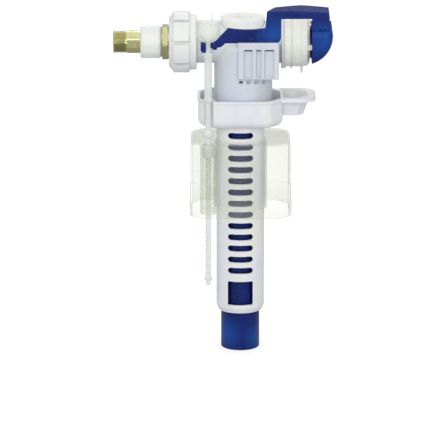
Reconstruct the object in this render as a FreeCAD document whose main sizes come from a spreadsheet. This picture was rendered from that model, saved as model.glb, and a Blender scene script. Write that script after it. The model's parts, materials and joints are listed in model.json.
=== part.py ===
import FreeCAD, Part
import math
import os
import re
import Sketcher
from FreeCAD import Placement, Rotation, Vector

# Toilet fill valve. Millimetres. The origin is on the inlet axis where the fixing nut's outer face
# sits on the brass shank. +X runs along the inlet axis into the valve, +Z is up, -Y is the front.

doc = FreeCAD.newDocument("toilet_fill_valve")
sheet = doc.addObject("Spreadsheet::Sheet", "Sizes")

SIZES = {
    # places of the main axes
    "riser_x": 73.9, "upright_x": 75.9, "plug_x": 75.5, "rod_x": 50.0, "rod_y": -21.5,
    "pivot_x": 133.9, "pivot_z": 15.5,
    # clearances
    "running_gap": 0.07, "end_gap": 0.1, "seat_gap": 0.05,
    # brass inlet shank, G3/8
    "shank_radius": 8.33, "shank_bore": 5.2, "shank_reach": 20.0, "thread_pitch": 1.337,
    "thread_depth": 0.85, "plain_length": 9.9, "flat_offset": 7.8, "relief_radius": 7.4,
    "collar_x": 15.8, "collar_length": 5.1, "collar_flats": 24.0, "tail_radius": 10.5,
    "tail_end": 29.2, "tail_bore": 6.9, "tail_bore_x": 14.0,
    # fixing nut
    "fixing_radius": 12.1, "fixing_facet": 11.9,
    # union nut
    "union_x": 21.0, "union_end": 41.5, "union_base": 20.2, "lobe_radius": 22.6, "lobe_start": 23.5,
    "lobe_end": 37.0, "groove_width": 2.4, "groove_turn": 10.0, "union_wall": 4.2,
    "union_thread": 15.07, "retainer_x": 25.4, "retainer_radius": 12.8, "retainer_length": 1.0,
    # valve body
    "spigot_x": 31.65, "spigot_radius": 15.0, "barrel_radius": 15.5, "flange_x": 103.9,
    "flange_radius": 19.7, "flange_face": 105.5, "upright_radius": 21.5, "upright_top": 1.0,
    "upright_foot": -55.5, "nozzle_foot": -64.8, "nozzle_radius": 15.65, "boss_radius": 16.5,
    "boss_top": 12.3, "passage_radius": 5.6, "seat_tube_radius": 7.6, "seat_tube_end": 101.5,
    "chamber_radius": 10.8, "down_radius": 12.4,
    # vent on the front of the body and the row of air recesses under it
    "vent_x": 71.8, "vent_end": 102.0, "vent_top": 3.9, "vent_foot": -23.3, "vent_front": 24.0,
    "vent_thick": 3.2, "vent_recess": 2.0, "hole_height": 2.1, "hole_depth": 1.6, "hole_z": -25.8,
    # top plug
    "plug_radius": 16.2, "plug_top": 19.0, "plug_spigot": 9.5, "slot_length": 14.4, "slot_width": 5.0,
    # cap on the right end and the diaphragm under it
    "cap_radius": 18.1, "cap_end": 124.6, "cap_chamber": 13.4, "cap_wall_x": 121.0,
    "groove_x": 110.6, "end_ring_x": 118.4, "lug_x": 117.9, "nozzle_hole": 2.95,
    "rim_radius": 16.2, "rim_inner": 13.5, "rim_end": 107.55, "diaphragm_x": 104.8,
    "diaphragm_radius": 12.9,
    # blue pilot housing
    "housing_x": 126.1, "housing_end": 141.5, "housing_top": 12.4, "housing_half": 20.0,
    "arc_x": 120.1, "arc_z": 7.5, "arc_radius": 21.4, "housing_round": 4.0, "housing_wall": 1.8,
    "pin_radius": 1.5, "ear_radius": 2.5,
    # blue lever
    "lever_front": 20.0, "lever_plate": 3.1, "bridge_x": 92.8, "bridge_end": 138.2, "bridge_back": 6.0,
    "bridge_foot": 21.4, "bridge_top": 27.4, "bridge_bow": 330.0, "bow_x": 110.0,
    "block_x": 126.4, "block_foot": 12.8, "block_end": 139.9, "block_back": 1.3, "block_inset": 1.2,
    "lever_wall": 1.8, "arm_foot": 3.2, "arm_top": 13.9, "arm_dip": 1.2, "arm_start": 64.7,
    "tip_x": 44.4, "tip_back": 16.9, "tip_depth": 7.7, "tip_foot": -2.8, "tip_top": 3.7,
    "fork_play": 1.45, "tail_x": 131.95, "tail_width": 3.05,
    # adjusting rod and its cup
    "cup_radius": 9.2, "cup_wall": 1.1, "cup_centre": 13.1, "cup_top": 20.0,
    "cup_foot": 4.2, "cup_floor": 1.4, "needle_top": 28.5, "neck_radius": 1.6,
    "collar_top": -3.9, "stem_collar": 3.4, "stem_radius": 2.9, "lower_stem": 2.3,
    "ball_radius": 3.95, "ball_z": -64.3,
    "spindle_radius": 2.45, "spindle_pitch": 3.0, "spindle_foot": -180.0,
    # water tray and its ear
    "tray_left": 42.6, "tray_right": 104.9, "tray_half": 24.0, "tray_top": -40.0,
    "tray_foot": -61.0, "tray_wall": 1.6, "tray_round": 6.0, "rim_height": 1.9, "rim_step": 0.6,
    "channel_radius": 4.4, "ear_right": 129.4, "ear_half": 18.6, "ear_y": 3.6, "ear_depth": 14.0,
    "ear_inset": 4.6, "ear_draft": 19.0, "lip_height": 2.8, "lip_round": 12.0,
    # float
    "float_length": 74.0, "float_width": 58.0, "float_top": -71.5, "float_foot": -128.0,
    "float_wall": 1.3, "corner_x": 9.0, "corner_y": 8.0, "float_shoulder": 4.0, "tunnel_radius": 18.4,
    "boss_wall": 1.4, "rod_boss": 6.0, "skirt_height": 14.5, "skirt_step": 0.7, "skirt_round": 2.6,
    # tubes
    "sleeve_radius": 17.7, "sleeve_bore": 15.72, "sleeve_top": -57.2, "sleeve_foot": -204.0,
    "pipe_radius": 14.25, "pipe_upper": 13.6, "pipe_bore": 11.4, "pipe_top": -58.3,
    "pipe_foot": -233.4, "window_width": 18.4, "window_height": 4.7, "window_pitch": 8.6,
    "window_top": -67.6, "outlet_window_top": -179.2, "outlet_window_foot": -197.6,
}

for row, (word, number) in enumerate(SIZES.items(), start=1):
    sheet.set(f"A{row}", word)
    sheet.set(f"B{row}", str(number))
    sheet.setAlias(f"B{row}", word)
doc.recompute()


# ---------------------------------------------------------------- helpers

def linked(text):
    """An expression whose words are cells of the sheet."""
    return re.sub(r"[a-z]\w*", lambda m: f"Sizes.{m[0]}" if m[0] in SIZES else m[0], str(text))


def size(text):
    """The number an expression has now."""
    return float(sheet.evalExpression(linked(text)))


def bind(thing, **expressions):
    for name, text in expressions.items():
        thing.setExpression(name, linked(text))
    return thing


def put(thing, at=(0, 0, 0), axis=(0, 0, 1), spin=0.0):
    """Turn local Z to an axis, after a spin about it, and bind the place to the sheet."""
    turn = Rotation(Vector(0, 0, 1), Vector(*axis)) * Rotation(Vector(0, 0, 1), spin)
    thing.Placement = Placement(Vector(), turn)
    for letter, text in zip("xyz", at):
        thing.setExpression(f"Placement.Base.{letter}", linked(text))
    return thing


def unnamed(kind, base):
    return doc.addObject(kind, base)


def cylinder(radius, height, at=(0, 0, 0), axis=(0, 0, 1)):
    return put(bind(unnamed("Part::Cylinder", "cylinder"), Radius=radius, Height=height), at, axis)


def cone(low_radius, high_radius, height, at=(0, 0, 0), axis=(0, 0, 1)):
    thing = bind(unnamed("Part::Cone", "cone"), Radius1=low_radius, Radius2=high_radius, Height=height)
    return put(thing, at, axis)


def sphere(radius, at):
    return put(bind(unnamed("Part::Sphere", "sphere"), Radius=radius), at)


def torus(ring_radius, section_radius, at, axis=(0, 0, 1)):
    thing = bind(unnamed("Part::Torus", "torus"), Radius1=ring_radius, Radius2=section_radius)
    return put(thing, at, axis)


def box(low, high):
    """A box between two corners, each a triple of expressions."""
    thing = unnamed("Part::Box", "box")
    length, width, height = (f"({b}) - ({a})" for a, b in zip(low, high))
    return put(bind(thing, Length=length, Width=width, Height=height), low)


def prism(sides, across_flats, height, at, axis, spin=0.0):
    thing = unnamed("Part::Prism", "prism")
    thing.Polygon = sides
    half_angle = 180.0 / sides
    bind(thing, Circumradius=f"({across_flats}) / 2 / cos({half_angle} deg)", Height=height)
    return put(thing, at, axis, spin)


def fuse(*things):
    joined = unnamed("Part::MultiFuse", "fuse")
    joined.Shapes = list(things)
    joined.Refine = True
    return joined


def common(*things):
    shared = unnamed("Part::MultiCommon", "common")
    shared.Shapes = list(things)
    return shared


def cut(base, *tools):
    left = unnamed("Part::Cut", "cut")
    left.Base = base
    left.Tool = tools[0] if len(tools) == 1 else fuse(*tools)
    left.Refine = True
    return left


def rounded(base, radius, choose):
    """Round every edge that choose(edge) picks."""
    doc.recompute()
    fillet = unnamed("Part::Fillet", "fillet")
    fillet.Base = base
    picked = [i for i, edge in enumerate(base.Shape.Edges, start=1) if choose(edge)]
    fillet.Edges = [(i, size(radius), size(radius)) for i in picked]
    return fillet


def plane_of(body, role):
    return next(f for f in body.Origin.OriginFeatures if f.Role == role)


def outline(body, role, points):
    """A closed sketch on one of the body's own planes. Each corner is bound to the sheet."""
    sketch = body.newObject("Sketcher::SketchObject", "outline")
    sketch.AttachmentSupport = (plane_of(body, role), [""])
    sketch.MapMode = "FlatFace"
    corners = [Vector(size(a), size(b), 0) for a, b in points]
    for start, end in zip(corners, corners[1:] + corners[:1]):
        sketch.addGeometry(Part.LineSegment(start, end), False)
    for i in range(len(corners)):
        sketch.addConstraint(Sketcher.Constraint("Coincident", i - 1 if i else len(corners) - 1, 2, i, 1))
    for i, (a, b) in enumerate(points):
        across = sketch.addConstraint(Sketcher.Constraint("DistanceX", -1, 1, i, 1, size(a)))
        sketch.setExpression(f"Constraints[{across}]", linked(a))
        up = sketch.addConstraint(Sketcher.Constraint("DistanceY", -1, 1, i, 1, size(b)))
        sketch.setExpression(f"Constraints[{up}]", linked(b))
    return sketch


def turned(profile, about="X", at=(0, 0, 0)):
    """A body turned about X, from (x, radius) corners, or about Z, from (radius, z) corners."""
    body = doc.addObject("PartDesign::Body", "turned")
    sketch = outline(body, "XZ_Plane", profile)
    turn = body.newObject("PartDesign::Revolution", "turn")
    turn.Profile = sketch
    turn.ReferenceAxis = (sketch, ["H_Axis" if about == "X" else "V_Axis"])
    turn.Angle = 360
    sketch.Visibility = False
    return put(body, at)


def padded(points, role, length, at=(0, 0, 0), taper=0.0):
    """A body padded from an outline on one of its planes."""
    body = doc.addObject("PartDesign::Body", "padded")
    pad = body.newObject("PartDesign::Pad", "pad")
    pad.Profile = outline(body, role, points)
    body.Tip = pad
    pad.TaperAngle = taper
    bind(pad, Length=length)
    return put(body, at)


finished = []


def finish(name, thing):
    """Name a finished sub-part, which is what its file is called."""
    thing.Label = name
    finished.append(thing)
    return thing


# ---------------------------------------------------------------- inlet shank and nuts

def thread_profile(start, crest, depth, pitch, turns):
    """Corners of ring grooves cut into a shaft, as (x, radius), starting at x = start."""
    points = []
    for i in range(turns):
        groove = f"{start} + {pitch} * {i}"
        points += [(groove, crest), (f"{groove} + {pitch} * 0.45", f"{crest} - {depth}"),
                   (f"{groove} + {pitch} * 0.55", f"{crest} - {depth}"),
                   (f"{groove} + {pitch} * 0.98", crest)]
    return points


def make_inlet_nipple():
    shaft = turned([
        ("-shank_reach", "shank_bore"), ("-shank_reach", "shank_radius - thread_depth"),
        ("-shank_reach + thread_depth", "shank_radius")]
        + thread_profile("-shank_reach + 1", "shank_radius", "thread_depth", "thread_pitch", 6)
        + [("-plain_length - 0.9", "shank_radius"), ("-plain_length - 0.6", "relief_radius"),
           ("-plain_length", "relief_radius"), ("-plain_length", "shank_radius"),
           (0, "shank_radius"), (0, "relief_radius"), (1.2, "relief_radius"), (1.2, "shank_radius"),
           ("collar_x + 1", "shank_radius"), ("collar_x + 1", "tail_radius"),
           ("retainer_x - seat_gap", "tail_radius"), ("retainer_x - seat_gap", "tail_radius - 1.1"),
           ("retainer_x + retainer_length + seat_gap", "tail_radius - 1.1"),
           ("retainer_x + retainer_length + seat_gap", "tail_radius"),
           ("tail_end - 0.6", "tail_radius"), ("tail_end", "tail_radius - 0.6"),
           ("tail_end", "tail_bore"), ("tail_bore_x", "tail_bore"), ("tail_bore_x", "shank_bore")])
    collar = prism(6, "collar_flats", "collar_length", ("collar_x", 0, 0), (1, 0, 0), 90)
    # the collar's corners are turned off at both ends
    corner_cut = turned([("collar_x", 0), ("collar_x", "collar_flats / 2"),
                         ("collar_x + 0.8", "collar_flats / 2 + 1.4"),
                         ("collar_x + collar_length - 0.8", "collar_flats / 2 + 1.4"),
                         ("collar_x + collar_length", "collar_flats / 2"),
                         ("collar_x + collar_length", 0)])
    bore = cylinder("tail_bore", "collar_length + 2", ("collar_x - 1", 0, 0), (1, 0, 0))
    flats = [box(("-plain_length - 0.3", y, -9), (0.6, f"{y} + 3", 9))
             for y in ("flat_offset", "-flat_offset - 3")]
    finish("inlet_nipple", cut(fuse(shaft, common(collar, corner_cut)), bore, *flats))


def make_fixing_nut():
    ring = turned([
        ("end_gap", "shank_radius + 0.6"), ("end_gap", "fixing_radius - 1.3"),
        ("end_gap + 1.1", "fixing_radius"), ("collar_x - 1.7", "fixing_radius"),
        ("collar_x - end_gap", "fixing_radius - 1.6"), ("collar_x - end_gap", "shank_radius + 0.6"),
        ("collar_x - end_gap - 0.6", "shank_radius + running_gap"),
        ("end_gap + 0.6", "shank_radius + running_gap")])
    facets = prism(12, "2 * fixing_facet", "collar_x", (0, 0, 0), (1, 0, 0))
    finish("fixing_nut", common(ring, facets))


def make_union_nut():
    ring = turned([
        ("union_x", "tail_radius + running_gap"), ("union_x", "union_base - 2.4"),
        ("union_x + 1.6", "union_base - 0.4"), ("lobe_start - 0.4", "union_base"),
        ("lobe_start + 1.3", "lobe_radius"), ("lobe_end - 1.3", "lobe_radius"),
        ("lobe_end", "union_base + 0.2"), ("union_end - 0.7", "union_base + 0.2"),
        ("union_end", "union_base - 0.6"), ("union_end", "union_thread + 0.8"),
        ("union_end - 0.8", "union_thread"), ("union_x + union_wall", "union_thread"),
        ("union_x + union_wall", "tail_radius + running_gap")])
    grooves = []
    for i in range(8):
        turn = math.radians(i * 45 + size("groove_turn"))
        groove = bind(unnamed("Part::Box", "groove"), Length="lobe_end - union_x", Width="groove_width",
                      Height="lobe_radius - union_base + 1")
        # local X stays along the nut and local Z points outwards
        outward = Vector(0, -math.cos(turn), math.sin(turn))
        spin = Rotation(Vector(1, 0, 0), Vector(0, 0, 0), outward, "XZY")
        groove.Placement = Placement(Vector(), spin)
        start = Vector(size("union_x") + 1, 0, 0) + outward * size("union_base")
        groove.Placement.Base = start - spin.multVec(Vector(0, size("groove_width") / 2, 0))
        grooves.append(groove)
    finish("union_nut", cut(ring, *grooves))


def make_retaining_ring():
    ring = turned([
        ("retainer_x", "tail_radius - 1.05"), ("retainer_x", "retainer_radius"),
        ("retainer_x + retainer_length", "retainer_radius"),
        ("retainer_x + retainer_length", "tail_radius - 1.05")])
    finish("retaining_ring", cut(ring, box(("retainer_x - 1", -2, "-retainer_radius - 1"),
                                           ("retainer_x + 2", 2, 0))))


def make_union_seal():
    finish("union_seal", turned([
        ("tail_end + 0.02", "tail_bore + 0.4"), ("tail_end + 0.02", "tail_radius"),
        ("spigot_x - 0.02", "tail_radius"), ("spigot_x - 0.02", "tail_bore + 0.4")]))


def make_inlet_strainer():
    cage = turned([
        (16, 0), (16, 5.0), (17, 5.8), (27.2, 5.8), (27.2, "tail_bore - 0.1"),
        (28.6, "tail_bore - 0.1"), (28.6, 4.9), (17.2, 4.9), (17.2, 0)])
    slots = [box((19 + 2.2 * i, -7, -3.4), (20.2 + 2.2 * i, 7, 3.4)) for i in range(4)]
    finish("inlet_strainer", cut(cage, *slots))


def make_flow_restrictor():
    disc = turned([(31.9, 2.6), (31.9, 7.3), (35.9, 7.3), (35.9, 1.7), (34.2, 1.7)])
    finish("flow_restrictor", disc)


make_inlet_nipple()
make_fixing_nut()
make_union_nut()
make_retaining_ring()
make_union_seal()
make_inlet_strainer()
make_flow_restrictor()


# ---------------------------------------------------------------- valve body, vent and plug

def make_valve_body():
    barrel = turned([
        ("spigot_x", 0), ("spigot_x", "spigot_radius - 0.7"), ("spigot_x + 0.7", "spigot_radius"),
        ("union_end + 0.2", "spigot_radius"), ("union_end + 0.2", "barrel_radius"),
        ("flange_x", "barrel_radius"), ("flange_x", "flange_radius - 0.4"),
        ("flange_x + 0.4", "flange_radius"), ("flange_face", "flange_radius"), ("flange_face", 0)])
    upright = turned([
        (0, "nozzle_foot"), ("nozzle_radius - 0.8", "nozzle_foot"),
        ("nozzle_radius", "nozzle_foot + 0.8"), ("nozzle_radius", "upright_foot"), (0, "upright_foot")],
        "Z", ("riser_x", 0, 0))
    shroud = turned([
        (0, "upright_foot"), ("upright_radius", "upright_foot"), ("upright_radius", "upright_top - 4"),
        ("upright_radius - 1", "upright_top - 1.4"), ("upright_radius - 3.4", "upright_top"),
        (0, "upright_top")], "Z", ("upright_x", 0, 0))
    boss = cylinder("boss_radius", "boss_top", ("plug_x", 0, 0))
    vent_box = box(("vent_x", "-vent_front + vent_thick + seat_gap", "vent_foot"),
                   ("vent_end", -4, "vent_top - 1"))
    vent_duct = box(("vent_x + 4", "-vent_front", "vent_top - 9"), ("vent_end - 4", -9, "vent_top - 4.2"))
    cover_room = box(("vent_x - seat_gap", "-vent_front - 1", "vent_foot - seat_gap"),
                     ("vent_end + seat_gap", "-vent_front + vent_thick + seat_gap", "vent_top + seat_gap"))
    plug_recess = cylinder("plug_radius + 0.3", 20, ("plug_x", 0, "boss_top"))
    shell_gap = cut(cylinder("upright_radius - 2.4", 39, ("upright_x", 0, "upright_foot - 1")),
                    cylinder("nozzle_radius", 60, ("riser_x", 0, "nozzle_foot")))
    chamber = turned([
        (60, 0), (60, "chamber_radius"), (96, "chamber_radius"), (98, "rim_inner - 0.2"),
        ("flange_face + 1", "rim_inner - 0.2"), ("flange_face + 1", 0)])
    down_pass = turned([
        (0, "nozzle_foot - 1"), ("pipe_upper + 0.1", "nozzle_foot - 1"),
        ("pipe_upper + 0.1", "pipe_top + 0.3"), ("down_radius", "pipe_top + 0.3"),
        ("down_radius", -4), (0, -4)], "Z", ("riser_x", 0, 0))
    ring_groove = torus("rim_radius + 1.2", 0.85, ("flange_face - 0.6", 0, 0), (1, 0, 0))
    air_holes = []
    for start, end, front, drop in ((-1.4, 1.4, 20.6, 0), (4.2, 7.1, 20.7, 0), (9.9, 13.2, 19.0, 0.5),
                                    (15.9, 18.0, 15.6, 1.2)):
        foot = f"hole_z - {drop} - hole_height / 2"
        air_holes.append(box((f"riser_x + {start}", "-upright_radius - 1", foot),
                             (f"riser_x + {end}", f"-{front} + hole_depth", f"{foot} + hole_height")))
    plug_port = cylinder("plug_spigot + 0.1", 20, ("plug_x", 0, 8.4))
    hollow = cut(fuse(barrel, upright, shroud, boss, vent_box), plug_recess, shell_gap, chamber,
                 down_pass, ring_groove, vent_duct, plug_port, cover_room, *air_holes)
    seat_tube = cylinder("seat_tube_radius", "seat_tube_end - 52", (52, 0, 0), (1, 0, 0))
    bores = turned([
        ("spigot_x - 1", 0), ("spigot_x - 1", 7.4), (36, 7.4), (36, "passage_radius"),
        ("seat_tube_end - 2.5", "passage_radius"), ("seat_tube_end - 2.5", "passage_radius + 1"),
        ("seat_tube_end + 1", "passage_radius + 1"), ("seat_tube_end + 1", 0)])
    finish("valve_body", cut(fuse(hollow, seat_tube), bores))


def make_vent_cover():
    plate = box(("vent_x", "-vent_front", "vent_foot"), ("vent_end", "-vent_front + vent_thick", "vent_top"))
    plate = rounded(plate, 0.9, lambda e: e.BoundBox.YLength < 0.01
                    and e.CenterOfMass.y < -size("vent_front") + 0.1)
    tools = []
    for start, end in ((4.3, 10.8), (13.2, 17.2), (19.3, 26.6)):
        low_x, high_x = f"vent_x + {start}", f"vent_x + {end}"
        tools.append(box((low_x, "-vent_front - 1", "vent_foot + 1.2"),
                         (high_x, "-vent_front + vent_recess", "vent_top - 4.9")))
        tools.append(box((f"{low_x} + 0.4", "-vent_front", "vent_top - 6.2"),
                         (f"{high_x} - 0.4", "-vent_front + 5", "vent_top - 4.9")))
    finish("vent_cover", cut(plate, *tools))


def make_vent_flap():
    finish("vent_flap", box(("vent_x + 5", "-vent_front + vent_thick + 1.2", "vent_top - 8.6"),
                            ("vent_end - 5", "-vent_front + vent_thick + 2", "vent_top - 4.4")))


def make_top_plug():
    head = turned([
        (0, 8.8), ("plug_spigot - 0.6", 8.8), ("plug_spigot", 9.3), ("plug_spigot", 9.6),
        ("plug_spigot - 1.3", 9.6), ("plug_spigot - 1.3", 11.2), ("plug_spigot", 11.2),
        ("plug_spigot", "boss_top + 0.1"), ("plug_radius", "boss_top + 0.1"),
        ("plug_radius", "plug_top"), (0, "plug_top")], "Z", ("plug_x", 0, 0))
    head = rounded(head, 1.0, lambda e: abs(e.CenterOfMass.z - size("plug_top")) < 0.01)
    half = "slot_width / 2"
    slot = box((f"plug_x - slot_length / 2 + {half}", f"-{half}", "plug_top - 2.2"),
               (f"plug_x + slot_length / 2 - {half}", half, "plug_top + 1"))
    ends = [cylinder(half, 4, (f"plug_x {sign} (slot_length / 2 - {half})", 0, "plug_top - 2.2"))
            for sign in ("+", "-")]
    finish("top_plug", cut(head, slot, *ends))


def make_o_rings():
    finish("plug_o_ring", torus("plug_spigot - 0.62", 0.66, ("plug_x", 0, 10.4)))
    finish("cap_o_ring", torus("rim_radius + 1.2", 0.7, ("flange_face - 0.75", 0, 0), (1, 0, 0)))
    finish("outlet_o_ring", torus("pipe_upper - 0.62", 0.66, ("riser_x", 0, "pipe_top - 4")))


# ---------------------------------------------------------------- cap, diaphragm and pilot

def make_valve_cap():
    shell = turned([
        ("flange_face + seat_gap", "rim_radius + 0.1"), ("flange_face + seat_gap", "cap_radius - 0.3"),
        ("flange_face + 0.4", "cap_radius"), ("groove_x", "cap_radius"),
        ("groove_x + 0.3", "cap_radius - 0.7"), ("groove_x + 1.2", "cap_radius - 0.7"),
        ("groove_x + 1.5", "cap_radius"), ("end_ring_x", "cap_radius"),
        ("end_ring_x + 0.3", "cap_radius - 0.35"), ("cap_end - 2", "cap_radius - 0.35"),
        ("cap_end", "cap_radius - 2.2"), ("cap_end", "nozzle_hole"),
        ("cap_wall_x + 1.5", "nozzle_hole"), ("cap_wall_x + 1.5", 1.0), ("cap_wall_x", 1.0),
        ("cap_wall_x", "cap_chamber"), ("rim_end", "cap_chamber"), ("rim_end", "rim_radius + 0.1")])
    big_lug = box(("lug_x", -2.5, "-cap_radius - 4.7"), ("lug_x + 2", 2.5, "-cap_radius + 1"))
    small_lugs = [box((x, -4, "-cap_radius - 0.9"), (f"{x} + 1.6", 4, "-cap_radius + 1.5"))
                  for x in ("flange_face + 0.3", "groove_x")]
    side_tab = box(("cap_end - 2.4", "-cap_radius + 0.8", -2.6), ("cap_end + 2.1", -14.5, 1.2))
    top_tab = box(("cap_end - 1.6", -2, 14.2), ("cap_end + 1", 2, 16.6))
    finish("valve_cap", fuse(shell, big_lug, *small_lugs, side_tab, top_tab))


def make_diaphragm_set():
    finish("diaphragm_rim", turned([
        ("flange_face + 0.02", "rim_inner"), ("flange_face + 0.02", "rim_radius"),
        ("rim_end - 0.02", "rim_radius"), ("rim_end - 0.02", "rim_inner")]))
    finish("diaphragm", turned([
        ("diaphragm_x", 1.05), ("diaphragm_x", 7.2), ("diaphragm_x + 0.5", 7.6),
        ("diaphragm_x + 0.5", "diaphragm_radius - 0.8"), ("diaphragm_x + 1.1", "diaphragm_radius"),
        ("diaphragm_x + 2.2", "diaphragm_radius"), ("diaphragm_x + 2.2", 1.05)]))
    finish("diaphragm_plate", turned([
        ("diaphragm_x + 2.25", 1.05), ("diaphragm_x + 2.25", 10.5), ("diaphragm_x + 3.4", 10.5),
        ("diaphragm_x + 3.4", 4), ("diaphragm_x + 6", 3), ("diaphragm_x + 6", 1.05)]))
    finish("valve_seat", turned([
        ("seat_tube_end - 2.4", 3.6), ("seat_tube_end - 2.4", "passage_radius + 0.95"),
        ("seat_tube_end", "passage_radius + 0.95"), ("seat_tube_end", 6.0),
        ("seat_tube_end + 0.8", 5.4), ("seat_tube_end + 0.8", 4.6), ("seat_tube_end", 3.6)]))
    tip = turned([(98.4, 0), (98.4, 0.6), (99.2, 0.98), ("cap_wall_x - 2", 0.98), ("cap_wall_x - 2", 0)])
    spokes = [box(("seat_tube_end - 2", -3.5, -0.5), ("seat_tube_end - 0.8", 3.5, 0.5)),
              box(("seat_tube_end - 2", -0.5, -3.5), ("seat_tube_end - 0.8", 0.5, 3.5))]
    finish("metering_pin", fuse(tip, *spokes))


make_valve_body()
make_vent_cover()
make_vent_flap()
make_top_plug()
make_o_rings()
make_valve_cap()
make_diaphragm_set()


def make_pilot_housing():
    drum = cylinder("arc_radius", "2 * housing_half", ("arc_x", "housing_half", "arc_z"), (0, -1, 0))
    block = common(drum, box(("housing_x", "-housing_half", -20),
                             ("housing_end + 1", "housing_half", "housing_top")))
    block = rounded(block, "housing_round", lambda e: e.Curve.TypeId == "Part::GeomCircle"
                    or (e.BoundBox.YLength < 0.01 and e.CenterOfMass.z > size("housing_top") - 0.01))
    neck = cylinder(12, "housing_x - cap_end", ("cap_end + seat_gap", 0, 0), (1, 0, 0))
    inner_drum = cylinder("arc_radius - 2", 9, ("arc_x", 4, "arc_z"), (0, -1, 0))
    cavity = common(inner_drum, box(("housing_x + housing_wall", -6, -9),
                                    ("housing_end", 5, "housing_top + 5")))
    mouth = box(("housing_x + housing_wall", -5, "housing_top - 2"),
                ("housing_end - 3", 4, "housing_top + 1"))
    ears = []
    for front in (-14.7, -8.7):
        ears.append(box(("pivot_x - ear_radius", front, "housing_top - 1"),
                        ("pivot_x + ear_radius", f"{front} + 3", "pivot_z")))
        ears.append(cylinder("ear_radius", 3, ("pivot_x", f"{front} + 3", "pivot_z"), (0, -1, 0)))
    pin_hole = cylinder("pin_radius", 14, ("pivot_x", -4, "pivot_z"), (0, -1, 0))
    tab_room = box(("housing_x - 3", "-cap_radius", -3), ("housing_x + 1", -14, 1.6))
    nozzle_hole = cylinder(3, 5, ("cap_end - 1", 0, 0), (1, 0, 0))
    solid = fuse(cut(block, cavity, mouth, tab_room), neck, *ears)
    finish("pilot_housing", cut(solid, pin_hole, nozzle_hole))
    finish("pilot_nozzle", turned([
        ("cap_wall_x + 1.6", 0.6), ("cap_wall_x + 1.6", "nozzle_hole - seat_gap"),
        ("housing_x + 1.4", "nozzle_hole - seat_gap"), ("housing_x + 1.8", 1.6),
        ("housing_x + 2.3", 1.2), ("housing_x + 2.3", 0.6)]))
    finish("lever_pin", cylinder("pin_radius", 15.6, ("pivot_x", -2.3, "pivot_z"), (0, -1, 0)))


# ---------------------------------------------------------------- lever

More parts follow.
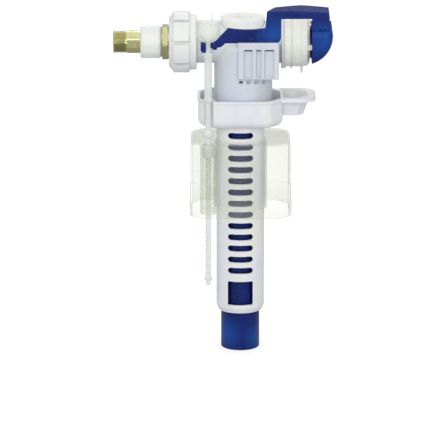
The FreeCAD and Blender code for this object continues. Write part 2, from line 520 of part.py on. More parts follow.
def make_valve_lever():
    # the arm: a plate whose upper edge dips in a shallow arc between its two ends
    def lower_right_corner(edge):
        corner = Vector(size("flange_x - 0.5"), edge.CenterOfMass.y, size("arm_foot"))
        return edge.BoundBox.YLength > 1 and edge.CenterOfMass.distanceToPoint(corner) < 0.1

    arm = padded([
        (53.4, -0.6), (59.4, 0.4), (62.6, "arm_foot"), ("flange_x - 0.5", "arm_foot"),
        ("flange_x - 0.5", 24), ("bridge_x", 24), (91.9, "arm_top + 1.2"), (78, "arm_top + 1.2"),
        ("arm_start", "arm_top + 0.4"), (53.4, 2.6)],
        "XZ_Plane", "lever_plate", (0, "-lever_front + lever_plate", 0))
    dip_radius = "(14 ^ 2 + arm_dip ^ 2) / (2 * arm_dip)"
    dip_at = ("arm_start + 13.6", "-lever_front + lever_plate + 1", f"arm_top + {dip_radius} - arm_dip + 0.4")
    dip = cylinder(dip_radius, "lever_plate + 2", dip_at, (0, -1, 0))
    arm = cut(arm, common(dip, box(("arm_start", "-lever_front - 1", "arm_top - 2"),
                                   (91.8, "-lever_front + lever_plate + 1", 40))))
    arm = rounded(arm, 4.5, lower_right_corner)
    # the fork at the tip: a deep rounded prong left of the rod's neck and a shallow one right of it
    tip_front = "-tip_back - tip_depth"
    left_prong = box(("tip_x", tip_front, "tip_foot"), ("rod_x", "-tip_back", "tip_top"))
    left_prong = rounded(left_prong, 2.2, lambda e: e.BoundBox.YLength > 5 and e.CenterOfMass.z < 0)
    right_prong = box(("rod_x - 1", tip_front, "tip_foot + 2.2"), (56.4, "-tip_back", "tip_top"))
    fork = box(("rod_x - neck_radius - 0.25", "-tip_back - tip_depth - 1", -4.5),
               ("rod_x + neck_radius + fork_play", "rod_y + neck_radius + 0.15", 5))
    # the bridge over the cap: bowed on top, with its back edge stepping in towards the arm
    plan = padded([("bridge_x", "-lever_front"), ("bridge_end + 2", "-lever_front"),
                   ("bridge_end + 2", "-block_back"), (118.2, 1.5), ("bridge_x + bridge_back", -6)],
                  "XY_Plane", 9, (0, 0, "bridge_foot"))
    bow = cylinder("bridge_bow", 30, ("bow_x", 6, "bridge_top - bridge_bow"), (0, -1, 0))
    end_slope = padded([("bridge_x - 1", 10), ("block_end + 0.4", 10), ("bridge_end", 29),
                        ("bridge_x - 0.5", 29)], "XZ_Plane", 30, (0, 6, 0))
    bridge = rounded(common(plan, bow, end_slope), 1.3, lambda e: e.CenterOfMass.z > size("bridge_top") - 2.8
                     and e.CenterOfMass.y < -size("lever_front") + 0.1)
    block = padded([
        ("block_x", "block_foot"), ("block_end", "block_foot + 0.9"), ("bridge_end + 0.3", "bridge_foot + 1"),
        ("block_x", "bridge_foot + 1")],
        "XZ_Plane", "lever_front - block_inset - block_back", (0, "-block_back", 0))
    block_room = padded([
        ("block_x + lever_wall", 10), ("block_end - 1.6", 10), ("bridge_end - 1.6", "bridge_top - 2.6"),
        ("block_x + lever_wall", "bridge_top - 2.6")],
        "XZ_Plane", "lever_front - block_inset - block_back - 2 * lever_wall",
        (0, "-block_back - lever_wall", 0))
    bridge_room = box((107, "-lever_front + 2.2", "bridge_foot - 1"), (124, -4, "bridge_top - 2.6"))
    # the tail that hangs from the pivot into the pilot housing
    tail_end = "tail_x + tail_width"
    tail = fuse(box(("tail_x", -4.2, 9), (tail_end, -1.6, "bridge_top - 1.6")),
                box(("tail_x", -4.2, -3.5), (tail_end, 1.9, 11.5)))
    boss_radius = "ear_radius + 0.3"
    pin_bosses = [cylinder(boss_radius, 3.1, ("pivot_x", -15.2, "pivot_z"), (0, -1, 0)),
                  cylinder(boss_radius, 1.2, ("pivot_x", -4.1, "pivot_z"), (0, -1, 0))]
    pin_hole = cylinder("pin_radius + running_gap", 15.9, ("pivot_x", -2.15, "pivot_z"), (0, -1, 0))
    solid = fuse(cut(fuse(arm, left_prong, right_prong, bridge, block), block_room, bridge_room, fork), tail, *pin_bosses)
    finish("valve_lever", cut(solid, pin_hole))
    finish("pilot_pad", cylinder(1.9, 1.6, ("tail_x - 1.62", 0, 0), (1, 0, 0)))


# ---------------------------------------------------------------- adjusting rod and cup

def make_rod_cup():
    middle = ("rod_x", "rod_y", "cup_centre")
    outside = fuse(sphere("cup_radius", middle), cylinder("cup_radius", 12, middle))
    inside = fuse(sphere("cup_radius - cup_wall", middle), cylinder("cup_radius - cup_wall", 12, middle))
    floor = box(("rod_x - 9", "rod_y - 9", "cup_foot - 6"),
                ("rod_x + 9", "rod_y + 9", "cup_foot + cup_floor"))
    above = box(("rod_x - 10", "rod_y - 10", "cup_top"), ("rod_x + 10", "rod_y + 10", 50))
    below = box(("rod_x - 10", "rod_y - 10", -5), ("rod_x + 10", "rod_y + 10", "cup_foot"))
    neck_hole = cylinder("neck_radius + running_gap", 8, ("rod_x", "rod_y", 0))
    needle = cylinder(0.6, "needle_top - cup_centre",
                      ("rod_x + 2.9", "rod_y - cup_radius + 1.1", "cup_centre"))
    finish("rod_cup", fuse(cut(outside, cut(inside, floor), above, below, neck_hole), needle))


def make_spindle_thread():
    """The raised thread of the spindle, a triangle swept along a helix."""
    start, length = size("ball_z") - 6, size("ball_z") - 8 - size("spindle_foot") - 6
    root = size("spindle_radius") - 0.6
    helix = Part.makeHelix(size("spindle_pitch"), length, root)
    ridge = Part.makePolygon([Vector(root - 0.15, 0, -0.75), Vector(root + 0.6, 0, -0.15),
                              Vector(root + 0.6, 0, 0.15), Vector(root - 0.15, 0, 0.75),
                              Vector(root - 0.15, 0, -0.75)])
    thread = doc.addObject("Part::Feature", "spindle_thread")
    thread.Shape = Part.Wire(helix).makePipeShell([ridge], True, True)
    put(thread, ("rod_x", "rod_y", start - length))
    return thread


def make_adjusting_rod():
    root = "spindle_radius - 0.6"
    core = turned([
        (0, "spindle_foot"), (1.2, "spindle_foot"), (1.75, "spindle_foot + 0.6"),
        (1.75, "spindle_foot + 4"), (2.9, "spindle_foot + 4"), (2.9, "spindle_foot + 5.8"),
        (root, "spindle_foot + 5.8"), (root, "ball_z"), ("lower_stem", "ball_z"),
        ("lower_stem", "tray_top - 0.6"), ("stem_collar", "tray_top"), ("stem_collar", "tray_top + 2.4"),
        ("stem_radius", "tray_top + 2.8"), ("stem_radius", "collar_top - 2.6"),
        ("stem_collar", "collar_top - 2.2"), ("stem_collar", "collar_top - 0.2"),
        ("stem_collar - 0.2", "collar_top"), ("neck_radius", "collar_top"),
        ("neck_radius", "cup_foot + cup_floor + 0.1"), (2.7, "cup_foot + cup_floor + 0.1"),
        (2.7, "cup_foot + cup_floor + 1.4"), (2.0, "cup_foot + cup_floor + 2"),
        (0, "cup_foot + cup_floor + 2")], "Z", ("rod_x", "rod_y", 0))
    ball = sphere("ball_radius", ("rod_x", "rod_y", "ball_z"))
    flutes = []
    for quarter in range(4):
        turn = math.radians(90 * quarter)
        x, y = 3.2 * math.cos(turn), 3.2 * math.sin(turn)
        flutes.append(cylinder(0.85, "collar_top - tray_top - 8",
                               (f"rod_x + {x}", f"rod_y + {y}", "tray_top + 4")))
    finish("adjusting_rod", fuse(cut(core, *flutes), ball, make_spindle_thread()))


# ---------------------------------------------------------------- water tray

def clipped_plan(left, right, low, high, cut_x, cut_y):
    """A rectangle in plan whose four corners are cut off."""
    return [(f"{left} + {cut_x}", low), (f"{right} - {cut_x}", low), (right, f"{low} + {cut_y}"),
            (right, f"{high} - {cut_y}"), (f"{right} - {cut_x}", high), (f"{left} + {cut_x}", high),
            (left, f"{high} - {cut_y}"), (left, f"{low} + {cut_y}")]


def tray_shape(inset, foot, top, foot_round):
    """The tray's outside or inside, rounded along its upright edges and, if wanted, its foot."""
    plan = clipped_plan(f"tray_left + {inset}", f"tray_right - {inset}", f"-tray_half + {inset}",
                        f"tray_half - {inset}", f"9.5 - 0.55 * {inset}", f"11 - 0.6 * {inset}")
    block = padded(plan, "XY_Plane", f"({top}) - ({foot})", (0, 0, foot))
    low, round_foot = size(foot), foot_round
    return rounded(block, f"tray_round - {inset}", lambda e: e.BoundBox.ZLength > 1
                   or (round_foot and abs(e.CenterOfMass.z - low) < 0.01))


def make_water_tray():
    outside = tray_shape(0, "tray_foot", "tray_top", True)
    inside = tray_shape("tray_wall", "tray_foot + 2", "tray_top + 1", True)
    rim = tray_shape("(-rim_step)", "tray_top - rim_height", "tray_top", False)
    channel_wall = common(outside, cylinder("channel_radius + 1.4", 30, ("rod_x", "rod_y", "tray_foot - 1")))
    channel = cylinder("channel_radius", 30, ("rod_x", "rod_y", "tray_foot - 1"))
    tube_hole = cylinder("sleeve_radius + seat_gap", 9, ("riser_x", 0, "tray_foot - 1"))

    def ear(inset, foot, top):
        """The drafted cup of the ear, its outside or inside."""
        plan = clipped_plan("tray_right - 9", f"ear_right - ear_inset - {inset}",
                            f"ear_y - ear_half + 3 + {inset}", f"ear_y + ear_half - 3 - {inset}", 7, 8)
        block = padded(plan, "XY_Plane", f"({top}) - ({foot})", (0, 0, top), -size("ear_draft"))
        block.Tip.Reversed = True
        return block

    lip = box(("tray_right - 2", "ear_y - ear_half", "tray_top - lip_height"),
              ("ear_right", "ear_y + ear_half", "tray_top"))
    lip = rounded(lip, "lip_round", lambda e: e.BoundBox.ZLength > 1
                  and e.CenterOfMass.x > size("ear_right") - 1)
    ear_foot = "tray_top - ear_depth"
    ear_inside = ear("tray_wall", f"{ear_foot} + tray_wall", "tray_top + 0.5")
    tray = cut(fuse(cut(fuse(outside, rim), inside), channel_wall), channel, tube_hole)
    ear_cup = cut(fuse(ear(0, ear_foot, "tray_top - 1"), lip), ear_inside,
                  tray_shape("tray_wall", "tray_foot + 2", "tray_top + 1", True))
    finish("water_tray", fuse(tray, ear_cup))


# ---------------------------------------------------------------- float

def float_block(inset, foot, top, shoulder):
    """The float's outside or inside: clipped corners with softened edges, and a rounded shoulder."""
    plan = clipped_plan(f"riser_x - float_length / 2 + {inset}", f"riser_x + float_length / 2 - {inset}",
                        f"-float_width / 2 + {inset}", f"float_width / 2 - {inset}",
                        f"corner_x - 0.5 * {inset}", f"corner_y - 0.5 * {inset}")
    block = padded(plan, "XY_Plane", f"({top}) - ({foot})", (0, 0, foot))
    block = rounded(block, f"2.2 - {inset}", lambda e: e.BoundBox.ZLength > 1)
    if not shoulder:
        return block
    high = size(top)
    return rounded(block, shoulder, lambda e: e.BoundBox.ZLength < 0.01
                   and abs(e.CenterOfMass.z - high) < 0.01)


def make_float():
    outside = float_block(0, "float_foot + 3", "float_top", "float_shoulder")
    skirt = float_block("(-skirt_step)", "float_foot", "float_foot + skirt_height", None)
    skirt = rounded(skirt, "skirt_round", lambda e: abs(e.CenterOfMass.z - size("float_foot")) < 0.01)
    inside = float_block("float_wall", "float_foot - 1", "float_top - float_wall",
                         "float_shoulder - float_wall")
    tunnel = cylinder("tunnel_radius + float_wall", "float_top - float_foot", ("riser_x", 0, "float_foot"))
    tunnel_bore = cylinder("tunnel_radius", 70, ("riser_x", 0, "float_foot - 2"))
    boss = cylinder("rod_boss", "float_top - float_foot - 2", ("rod_x", "rod_y", "float_foot + 2"))
    boss_bore = cylinder("rod_boss - boss_wall", "float_top - float_foot - float_wall",
                         ("rod_x", "rod_y", "float_foot"))
    spindle_hole = cylinder("spindle_radius + 0.5", 20, ("rod_x", "rod_y", "float_top - 10"))
    nub_x = "riser_x + float_length / 2 - 5.6"
    vent_nub = cut(cylinder(2.1, 2, (nub_x, 9.6, "float_top - 0.8")),
                   cylinder(1.1, 9, (nub_x, 9.6, "float_top - 4")))
    shell = fuse(cut(fuse(outside, skirt), inside), vent_nub)
    columns = common(fuse(tunnel, boss), outside)
    finish("float", cut(fuse(shell, columns), tunnel_bore, boss_bore, spindle_hole))
    nut_top = "float_top - float_wall - 0.05"
    nut = cylinder("rod_boss - boss_wall", 9, ("rod_x", "rod_y", f"{nut_top} - 9"))
    thread_hole = cylinder("spindle_radius + running_gap", 12, ("rod_x", "rod_y", f"{nut_top} - 10"))
    finish("float_nut", cut(nut, thread_hole))


# ---------------------------------------------------------------- tubes

def slot_window(z, height):
    """A round-ended window through the front of the sleeve."""
    reach = f"(window_width - {height}) / 2"
    middle = box((f"riser_x - {reach}", "-sleeve_radius - 1", f"{z} - {height} / 2"),
                 (f"riser_x + {reach}", "-9", f"{z} + {height} / 2"))
    ends = [cylinder(f"{height} / 2", "sleeve_radius - 8", (f"riser_x {sign} {reach}", -9, z), (0, -1, 0))
            for sign in ("+", "-")]
    return [middle, *ends]


def make_outer_sleeve():
    tube = turned([
        ("sleeve_bore", "sleeve_top"), ("sleeve_radius", "sleeve_top"),
        ("sleeve_radius", "sleeve_foot + 3.5"), ("sleeve_radius - 1.6", "sleeve_foot"),
        ("pipe_upper + 0.1", "sleeve_foot"), ("pipe_upper + 0.1", "sleeve_foot + 3"),
        ("sleeve_bore", "sleeve_foot + 4.5")], "Z", ("riser_x", 0, 0))
    windows = []
    for i in range(13):
        windows += slot_window(f"window_top - window_pitch * {i}", "window_height")
    outlet_window = rounded(box(("riser_x - window_width / 2", "-sleeve_radius - 1", "outlet_window_foot"),
                                ("riser_x + window_width / 2", -9, "outlet_window_top")),
                            0.8, lambda e: e.BoundBox.YLength > 5)
    finish("outer_sleeve", cut(tube, *windows, outlet_window))


def make_outlet_pipe():
    finish("outlet_pipe", turned([
        ("pipe_bore", "pipe_foot"), ("pipe_radius - 0.5", "pipe_foot"), ("pipe_radius", "pipe_foot + 0.5"),
        ("pipe_radius", "sleeve_foot - 0.2"), ("pipe_upper", "sleeve_foot - 0.2"),
        ("pipe_upper", "pipe_top - 4.7"), ("pipe_upper - 1.3", "pipe_top - 4.7"),
        ("pipe_upper - 1.3", "pipe_top - 3.3"), ("pipe_upper", "pipe_top - 3.3"),
        ("pipe_upper", "pipe_top - 0.5"), ("pipe_upper - 0.5", "pipe_top"), ("pipe_bore - 0.4", "pipe_top"),
        ("pipe_bore - 0.4", "sleeve_foot"), ("pipe_bore", "sleeve_foot")],
        "Z", ("riser_x", 0, 0)))


def make_flow_silencer():
    outside, foot = "pipe_bore - 0.45", "sleeve_foot + 0.5"
    ring = turned([
        (f"{outside} - 1", foot), (outside, foot), (outside, f"{foot} + 20"),
        (f"{outside} - 1", f"{foot} + 20")],
        "Z", ("riser_x", 0, 0))
    reach = f"{outside} - 0.5"
    vanes = [box((f"riser_x - ({reach})", -0.5, f"{foot} + 1"), (f"riser_x + {reach}", 0.5, f"{foot} + 19")),
             box(("riser_x - 0.5", f"-({reach})", f"{foot} + 1"), ("riser_x + 0.5", reach, f"{foot} + 19"))]
    finish("flow_silencer", fuse(ring, *vanes))


make_pilot_housing()
make_valve_lever()
make_rod_cup()
make_adjusting_rod()
make_water_tray()
make_float()
make_outer_sleeve()
make_outlet_pipe()
make_flow_silencer()


# ---------------------------------------------------------------- check and write

doc.recompute()
os.makedirs("parts", exist_ok=True)
for thing in doc.Objects:
    if "Invalid" in thing.State or "Error" in thing.State:
        raise RuntimeError(f"{thing.Name} ({thing.Label}) failed: {thing.State}")
for thing in finished:
    shape = thing.Shape
    if shape.isNull() or not shape.isValid() or not shape.Solids:
        raise RuntimeError(f"{thing.Label} has no valid solid")
    shape.exportStep(f"parts/{thing.Label}.step")
    print(f"{thing.Label}: {len(shape.Solids)} solid(s), {shape.Volume / 1000:.2f} cm3")
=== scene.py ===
import json
import math

import bpy
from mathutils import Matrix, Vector


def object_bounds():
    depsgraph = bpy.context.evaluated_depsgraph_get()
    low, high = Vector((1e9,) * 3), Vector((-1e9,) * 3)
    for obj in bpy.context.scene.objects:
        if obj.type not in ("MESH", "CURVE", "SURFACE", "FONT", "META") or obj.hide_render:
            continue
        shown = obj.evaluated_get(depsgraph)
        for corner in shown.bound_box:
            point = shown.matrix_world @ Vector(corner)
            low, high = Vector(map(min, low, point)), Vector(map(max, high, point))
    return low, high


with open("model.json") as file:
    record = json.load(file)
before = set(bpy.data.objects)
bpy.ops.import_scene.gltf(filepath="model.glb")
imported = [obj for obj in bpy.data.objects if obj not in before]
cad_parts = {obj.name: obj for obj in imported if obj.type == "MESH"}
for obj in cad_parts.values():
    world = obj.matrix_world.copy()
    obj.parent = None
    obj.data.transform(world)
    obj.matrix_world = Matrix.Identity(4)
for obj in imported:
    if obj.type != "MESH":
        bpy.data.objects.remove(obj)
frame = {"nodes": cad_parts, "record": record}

# Toilet fill valve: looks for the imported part. Metres, in the part's own frame: x along the inlet, z up,
# and -y towards the camera.

cad_low, cad_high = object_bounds()
nodes = frame["nodes"]
scene = bpy.context.scene

# Places on the part
RISER_AXIS = (0.0739, 0.0, 0.0)
TUNNEL_RADIUS = 0.0215
FLOAT_FOOT, HAZE_TOP = -0.128, -0.112
# Heights between which the painted shade on the metals' undersides fades out
SHADED_BELOW, BRIGHT_ABOVE = -0.006, 0.004
SEAM_WIDTH = 0.00025

# Depths and reaches of the fine surface detail, and how far the painted corner shade reaches
CORNER_SHADE_REACH = 0.005
EDGE_RADIUS = 0.0005
SEAM_DEPTH = FLOW_DEPTH = RIPPLE_DEPTH = 0.00012
GRAIN_DEPTH = RING_DEPTH = 0.00002
MOTTLE_DEPTH = 0.00003
FINE_DEPTH = 0.00001


# ---------------------------------------------------------------- node helpers

def feed(tree, socket, value):
    """Links value into the socket if it is a socket itself, and sets it otherwise."""
    if isinstance(value, bpy.types.NodeSocket):
        tree.links.new(value, socket)
    else:
        socket.default_value = value


class Shader:
    """A material under construction. add() returns a node, and the calls after it return sockets."""

    def __init__(self, name):
        self.material = bpy.data.materials.new(name)
        self.material.use_nodes = True
        self.tree = self.material.node_tree
        self.tree.nodes.clear()
        self.output = self.add("ShaderNodeOutputMaterial")
        self.place = self.add("ShaderNodeTexCoord").outputs["Object"]

    def add(self, kind, **inputs):
        """A new node, with its inputs given by name, _ standing for a space."""
        node = self.tree.nodes.new(kind)
        for name, value in inputs.items():
            feed(self.tree, node.inputs[name.replace("_", " ")], value)
        return node

    def axis(self, letter):
        return self.add("ShaderNodeSeparateXYZ", Vector=self.place).outputs[letter]

    def stretched(self, scale):
        return self.add("ShaderNodeMapping", Vector=self.place, Scale=scale).outputs["Vector"]

    def distance(self, point, centre):
        node = self.add("ShaderNodeVectorMath")
        node.operation = "DISTANCE"
        feed(self.tree, node.inputs[0], point)
        feed(self.tree, node.inputs[1], centre)
        return node.outputs["Value"]

    def noise(self, scale, detail=3.0, rough=0.55, stretch=None):
        place = self.stretched(stretch) if stretch else self.place
        node = self.add("ShaderNodeTexNoise", Vector=place, Scale=scale, Detail=detail, Roughness=rough)
        return node.outputs["Fac"]

    def remap(self, value, low, high, to_low, to_high):
        node = self.add("ShaderNodeMapRange", Value=value, From_Min=low, From_Max=high,
                        To_Min=to_low, To_Max=to_high)
        return node.outputs["Result"]

    def math(self, operation, a, b=0.0):
        node = self.add("ShaderNodeMath")
        node.operation = operation
        feed(self.tree, node.inputs[0], a)
        feed(self.tree, node.inputs[1], b)
        return node.outputs[0]

    def mix(self, share, a, b):
        """Colour a turning into colour b as share goes from 0 to 1."""
        node = self.add("ShaderNodeMix")
        node.data_type = "RGBA"
        for socket, value in ((node.inputs[0], share), (node.inputs[6], a), (node.inputs[7], b)):
            feed(self.tree, socket, value)
        return node.outputs[2]

    def bump(self, height, distance, strength=1.0, normal=None):
        node = self.add("ShaderNodeBump", Height=height, Distance=distance, Strength=strength)
        if normal is not None:
            feed(self.tree, node.inputs["Normal"], normal)
        return node.outputs["Normal"]

    def join(self, share, a, b):
        """Shader a turning into shader b as share goes from 0 to 1."""
        node = self.add("ShaderNodeMixShader")
        for socket, value in zip(node.inputs, (share, a, b)):
            feed(self.tree, socket, value)
        return node.outputs[0]

    def glossed(self, inner, roughness, normal, ior, most):
        """Shader inner under a gloss that grows at grazing angles, up to most."""
        sheen = self.add("ShaderNodeBsdfGlossy", Roughness=roughness, Normal=normal)
        fresnel = self.add("ShaderNodeFresnel", IOR=ior, Normal=normal)
        return self.join(self.math("MINIMUM", fresnel.outputs[0], most), inner, sheen.outputs[0])

    def done(self, surface):
        self.tree.links.new(surface, self.output.inputs["Surface"])
        return self.material


def rgb(red, green, blue):
    """A colour from its usual 0 to 255 screen values."""
    shares = [value / 255 for value in (red, green, blue)]
    return (*(v / 12.92 if v <= 0.04045 else ((v + 0.055) / 1.055) ** 2.4 for v in shares), 1.0)


# ---------------------------------------------------------------- kinds of material

def moulded_plastic(name, colour, warm, deep_tone_and_shade, roughness, crease_shade=0.25, ior=1.47, most_gloss=0.3,
                    subsurface=0.1, grain=0.35, specks=0.2, highlight_colour=None, highlight_spots=()):
    """Injection-moulded plastic: slow colour drift, flow marks, specks, a seam, a fine satin grain, and
    painted shade in corners and creases.

    The spots given as (centre, radius) are painted highlights: near each centre the colour runs towards the
    highlight colour."""
    s = Shader(name)
    drift = s.remap(s.noise(24.0, 2.0), 0.38, 0.62, 0.0, 1.0)
    flow = s.noise(90.0, 4.0, 0.6, (1.0, 1.0, 0.25))
    shade = s.mix(drift, colour, warm)
    # Painted highlights: the colour brightens round each given spot.
    for centre, radius in highlight_spots:
        shade = s.mix(s.remap(s.distance(s.place, centre), 0.0, radius, 0.9, 0.0), shade, highlight_colour)
    shade = s.mix(s.remap(flow, 0.45, 0.75, 0.0, 0.22), shade, deep_tone_and_shade)
    shade = s.mix(s.remap(s.noise(1400.0, 1.0), 0.72, 0.8, 0.0, specks), shade, deep_tone_and_shade)
    # Painted shade: in corners and creases, as ambient occlusion finds them, the colour runs towards the
    # darker tone.
    corners = s.add("ShaderNodeAmbientOcclusion", Distance=CORNER_SHADE_REACH)
    corners.samples = 6
    shade = s.mix(s.remap(corners.outputs["AO"], 0.15, 0.95, crease_shade, 0.0), shade, deep_tone_and_shade)

    seam = s.remap(s.math("ABSOLUTE", s.axis("Y")), 0.0, SEAM_WIDTH, 1.0, 0.0)
    soft_edge = s.add("ShaderNodeBevel", Radius=EDGE_RADIUS).outputs["Normal"]
    normal = s.bump(seam, SEAM_DEPTH, 0.6, s.bump(flow, FLOW_DEPTH, 0.25, soft_edge))
    normal = s.bump(s.noise(5200.0, 2.0), GRAIN_DEPTH, grain, normal)

    handled = s.remap(s.noise(160.0, 5.0, 0.7, (0.3, 1.0, 1.0)), 0.55, 0.7, 0.0, 0.08)
    satin = s.remap(s.noise(260.0, 3.0), 0.3, 0.7, roughness - 0.06, roughness + 0.07)
    body = s.add("ShaderNodeBsdfPrincipled", Base_Color=shade, Roughness=0.6, Normal=normal,
                 Specular_IOR_Level=0.0)
    if subsurface:
        for input_name, value in (("Weight", subsurface), ("Radius", (1.0, 0.9, 0.8)), ("Scale", 0.0012)):
            body.inputs[f"Subsurface {input_name}"].default_value = value
    return s.done(s.glossed(body.outputs[0], s.math("ADD", satin, handled), normal, ior, most_gloss))


def turned_metal(name, colour, tarnish_and_shade, roughness, axis_stretch):
    """Turned metal: tool rings round the axis, patches of tarnish, and painted shade that darkens the
    underside.
    """
    s = Shader(name)
    tarnish = s.remap(s.noise(140.0, 4.0, 0.6), 0.4, 0.66, 0.0, 1.0)
    rings = s.noise(900.0, 2.0, 0.5, axis_stretch)
    # Painted shade: from a given height downwards the colour runs towards the darker tone.
    under = s.remap(s.axis("Z"), SHADED_BELOW, BRIGHT_ABOVE, 0.55, 0.0)
    shade = s.mix(s.math("MULTIPLY", tarnish, 0.35), colour, tarnish_and_shade)
    shade = s.mix(s.remap(rings, 0.35, 0.7, 0.0, 0.2), shade, tarnish_and_shade)
    shade = s.mix(under, shade, tarnish_and_shade)
    gloss = s.remap(tarnish, 0.0, 1.0, roughness, roughness + 0.14)
    surface = s.add("ShaderNodeBsdfPrincipled", Base_Color=shade, Roughness=gloss, Metallic=1.0,
                    Normal=s.bump(rings, RING_DEPTH, 0.3))
    return s.done(surface.outputs[0])


def rubber(name, colour, light):
    """Matte moulded rubber with a fine mottle between two greys."""
    s = Shader(name)
    mottle = s.noise(700.0, 4.0)
    shade = s.mix(s.remap(mottle, 0.35, 0.65, 0.0, 1.0), colour, light)
    surface = s.add("ShaderNodeBsdfPrincipled", Base_Color=shade, Roughness=0.72,
                    Normal=s.bump(mottle, MOTTLE_DEPTH, 0.5))
    return s.done(surface.outputs[0])


def clear_plastic(name, tint, haze_colour, haze, edge_haze, roughness, wave=0.15, core=None, foot=None):
    """Clear moulded plastic: see-through, with a little haze that thickens at grazing angles, and gloss.

    core is (axis, radius, tint) of an upright zone with its own tint. foot is (low z, high z, extra haze):
    the haze thickens towards low z by up to the extra."""
    s = Shader(name)
    ripple = s.noise(120.0, 3.0, 0.5, (1.0, 1.0, 0.4))
    normal = s.bump(ripple, RIPPLE_DEPTH, wave, s.bump(s.noise(2600.0), FINE_DEPTH, 0.1))
    facing = s.add("ShaderNodeLayerWeight", Blend=0.35, Normal=normal)
    share = s.remap(facing.outputs["Facing"], 0.3, 1.0, haze, edge_haze)
    share = s.math("MULTIPLY", share, s.remap(ripple, 0.3, 0.7, 0.9, 1.1))
    if core:
        axis, radius, core_tint = core
        away = s.distance(s.stretched((1.0, 1.0, 0.0)), axis)
        tint = s.mix(s.remap(away, radius, radius + 0.0005, 0.0, 1.0), core_tint, tint)
    if foot:
        low_z, high_z, extra = foot
        share = s.math("ADD", share, s.remap(s.axis("Z"), low_z, high_z, extra, 0.0))
    through = s.add("ShaderNodeBsdfTransparent", Color=tint)
    body = s.add("ShaderNodeBsdfDiffuse", Color=haze_colour, Normal=normal)
    glow = s.add("ShaderNodeBsdfTranslucent", Color=haze_colour, Normal=normal)
    milky = s.join(0.25, body.outputs[0], glow.outputs[0])
    inner = s.join(share, through.outputs[0], milky)
    return s.done(s.glossed(inner, roughness, normal, 1.2, 0.3))


# ---------------------------------------------------------------- this part's materials

white = moulded_plastic("white_plastic", rgb(238, 240, 248), rgb(242, 244, 238), rgb(196, 201, 206), 0.34)
# A darker, cooler copy of the white plastic for the body and vent cover: its darker, cooler colour is
# painted shade.
shaded_body_white = moulded_plastic("shaded_body_white", rgb(218, 222, 236), rgb(222, 227, 228), rgb(180, 185, 196), 0.34)
cap_white = moulded_plastic("cap_white", rgb(238, 238, 233), rgb(236, 238, 231), rgb(204, 206, 200), 0.32,
                            crease_shade=0.12)
# Blue plastic, with painted highlights on the lever and near the foot of the blue pipe.
blue = moulded_plastic(
    "blue_plastic", rgb(10, 28, 96), rgb(14, 40, 120), rgb(6, 12, 56), 0.22, crease_shade=0.5, ior=1.34,
    most_gloss=0.1, subsurface=0.0, grain=0.05, specks=0.0, highlight_colour=rgb(14, 82, 172),
    highlight_spots=(((0.099, -0.02, 0.010), 0.015), ((0.135, -0.02, 0.006), 0.015),
                  ((0.060, -0.012, -0.22), 0.016), ((0.088, -0.012, -0.225), 0.013)))
ROUND_X = (1.0, 0.05, 0.05)
brass = turned_metal("brass", (0.62, 0.60, 0.34, 1), (0.36, 0.34, 0.17, 1), 0.17, ROUND_X)
steel = turned_metal("steel", (0.62, 0.62, 0.61, 1), (0.4, 0.4, 0.4, 1), 0.25, ROUND_X)
black_rubber = rubber("rubber", (0.02, 0.02, 0.021, 1), (0.032, 0.032, 0.0336, 1))
clear_rod = clear_plastic("clear_rod", (0.95, 0.965, 0.96, 1), rgb(250, 253, 252), 0.72, 0.9, 0.2)
clear_cup = clear_plastic("clear_cup", (0.975, 0.985, 0.965, 1), rgb(248, 251, 246), 0.26, 0.5, 0.3,
                          wave=0.05)
clear_float = clear_plastic(
    "clear_float", (0.974, 0.979, 0.96, 1), rgb(248, 248, 236), 0.03, 0.36, 0.1,
    core=(RISER_AXIS, TUNNEL_RADIUS, (0.994, 0.996, 0.996, 1)), foot=(FLOAT_FOOT, HAZE_TOP, 0.1))

SLOT_MATERIAL = {"white_plastic": white, "blue_plastic": blue, "brass": brass, "steel": steel,
                 "rubber": black_rubber, "clear_rod": clear_rod, "clear_float": clear_float}
NODE_MATERIAL = {"rod_cup": clear_cup, "valve_body": shaded_body_white, "vent_cover": shaded_body_white,
                 "valve_cap": cap_white}

for part in frame["record"]["subparts"]:
    name = part["node"]
    mesh = nodes[name].data
    mesh.materials.clear()
    mesh.materials.append(NODE_MATERIAL.get(name, SLOT_MATERIAL[part["material_slot"]]))

# The photograph's light leaves no shadow of these on what is behind them.
for name in ("float", "rod_cup", "valve_lever"):
    nodes[name].visible_shadow = False
for name in ("float", "valve_lever"):
    nodes[name].visible_diffuse = False

# ---------------------------------------------------------------- floor, light and camera

FLOOR_GLOW = 0.85

floor_z = cad_low.z
floor_mesh = bpy.data.meshes.new("floor")
floor_mesh.from_pydata([(-3, -3, floor_z), (3, -3, floor_z), (3, 5, floor_z), (-3, 5, floor_z)], [],
                       [(0, 1, 2, 3)])
floor = bpy.data.objects.new("floor", floor_mesh)
scene.collection.objects.link(floor)
s = Shader("floor")
paper = s.mix(s.remap(s.noise(6.0), 0.3, 0.7, 0.0, 1.0), (0.62, 0.62, 0.62, 1), (0.60, 0.60, 0.605, 1))
floor_surface = s.add("ShaderNodeBsdfPrincipled", Base_Color=paper, Roughness=0.9, Emission_Color=paper,
                      Emission_Strength=FLOOR_GLOW)
floor_mesh.materials.append(s.done(floor_surface.outputs[0]))
floor.visible_diffuse = False
floor.visible_glossy = False

# The sky's strength runs up with height, and more steeply in reflections.
world = bpy.data.worlds.new("studio")
scene.world = world
world.use_nodes = True
sky = world.node_tree.nodes
axes = sky.new("ShaderNodeSeparateXYZ")
feed(world.node_tree, axes.inputs[0], sky.new("ShaderNodeTexCoord").outputs["Generated"])


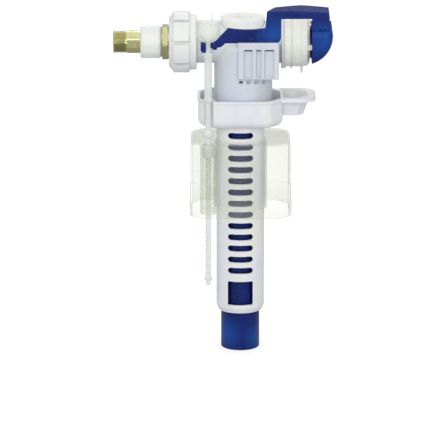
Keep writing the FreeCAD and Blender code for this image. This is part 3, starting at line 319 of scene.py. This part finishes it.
def sky_ramp(low_z, high_z, low_strength, high_strength):
    ramp = sky.new("ShaderNodeMapRange")
    for name, value in (("Value", axes.outputs["Z"]), ("From Min", low_z), ("From Max", high_z),
                        ("To Min", low_strength), ("To Max", high_strength)):
        feed(world.node_tree, ramp.inputs[name], value)
    return ramp.outputs["Result"]


strength = sky.new("ShaderNodeMix")
for index, value in ((0, sky.new("ShaderNodeLightPath").outputs["Is Glossy Ray"]),
                     (2, sky_ramp(-0.2, 1.0, 0.56, 0.82)), (3, sky_ramp(0.2, 0.9, 0.56, 1.2))):
    feed(world.node_tree, strength.inputs[index], value)
feed(world.node_tree, sky["Background"].inputs["Strength"], strength.outputs[0])
sky["Background"].inputs["Color"].default_value = (1.0, 1.0, 1.0, 1)

VIEW_CENTRE = Vector((0.0524, 0.0, -0.1295))
CAMERA_DISTANCE, CAMERA_ELEVATION = 3.0, math.radians(14.9)

# Name, place, diameter in metres, power in watts
LIGHTS = (("key", (-0.4, -1.4, 0.75), 0.8, 5.6), ("front", (0.1, -2.0, 0.08), 0.6, 3.2),
          ("fill", (0.9, -1.0, 0.3), 0.9, 1.5), ("back", (0.2, 0.9, 0.7), 0.7, 1.5))


def place_facing(item, place):
    """Puts a lamp or the camera at a place, looking at the middle of the part."""
    item.location = place
    item.rotation_euler = (VIEW_CENTRE - Vector(place)).to_track_quat("-Z", "Y").to_euler()
    scene.collection.objects.link(item)


for name, place, diameter, power in LIGHTS:
    light = bpy.data.lights.new(name, "AREA")
    light.shape = "DISK"
    light.size = diameter
    light.energy = power
    place_facing(bpy.data.objects.new(name, light), place)

camera_data = bpy.data.cameras.new("camera")
camera_data.lens = 342.4
camera_data.sensor_width = 36.0
camera_data.clip_start, camera_data.clip_end = 0.1, 50.0
camera = bpy.data.objects.new("camera", camera_data)
towards_camera = Vector((0.0, -math.cos(CAMERA_ELEVATION), math.sin(CAMERA_ELEVATION)))
place_facing(camera, VIEW_CENTRE + CAMERA_DISTANCE * towards_camera)
scene.camera = camera
scene.view_settings.view_transform = "Standard"
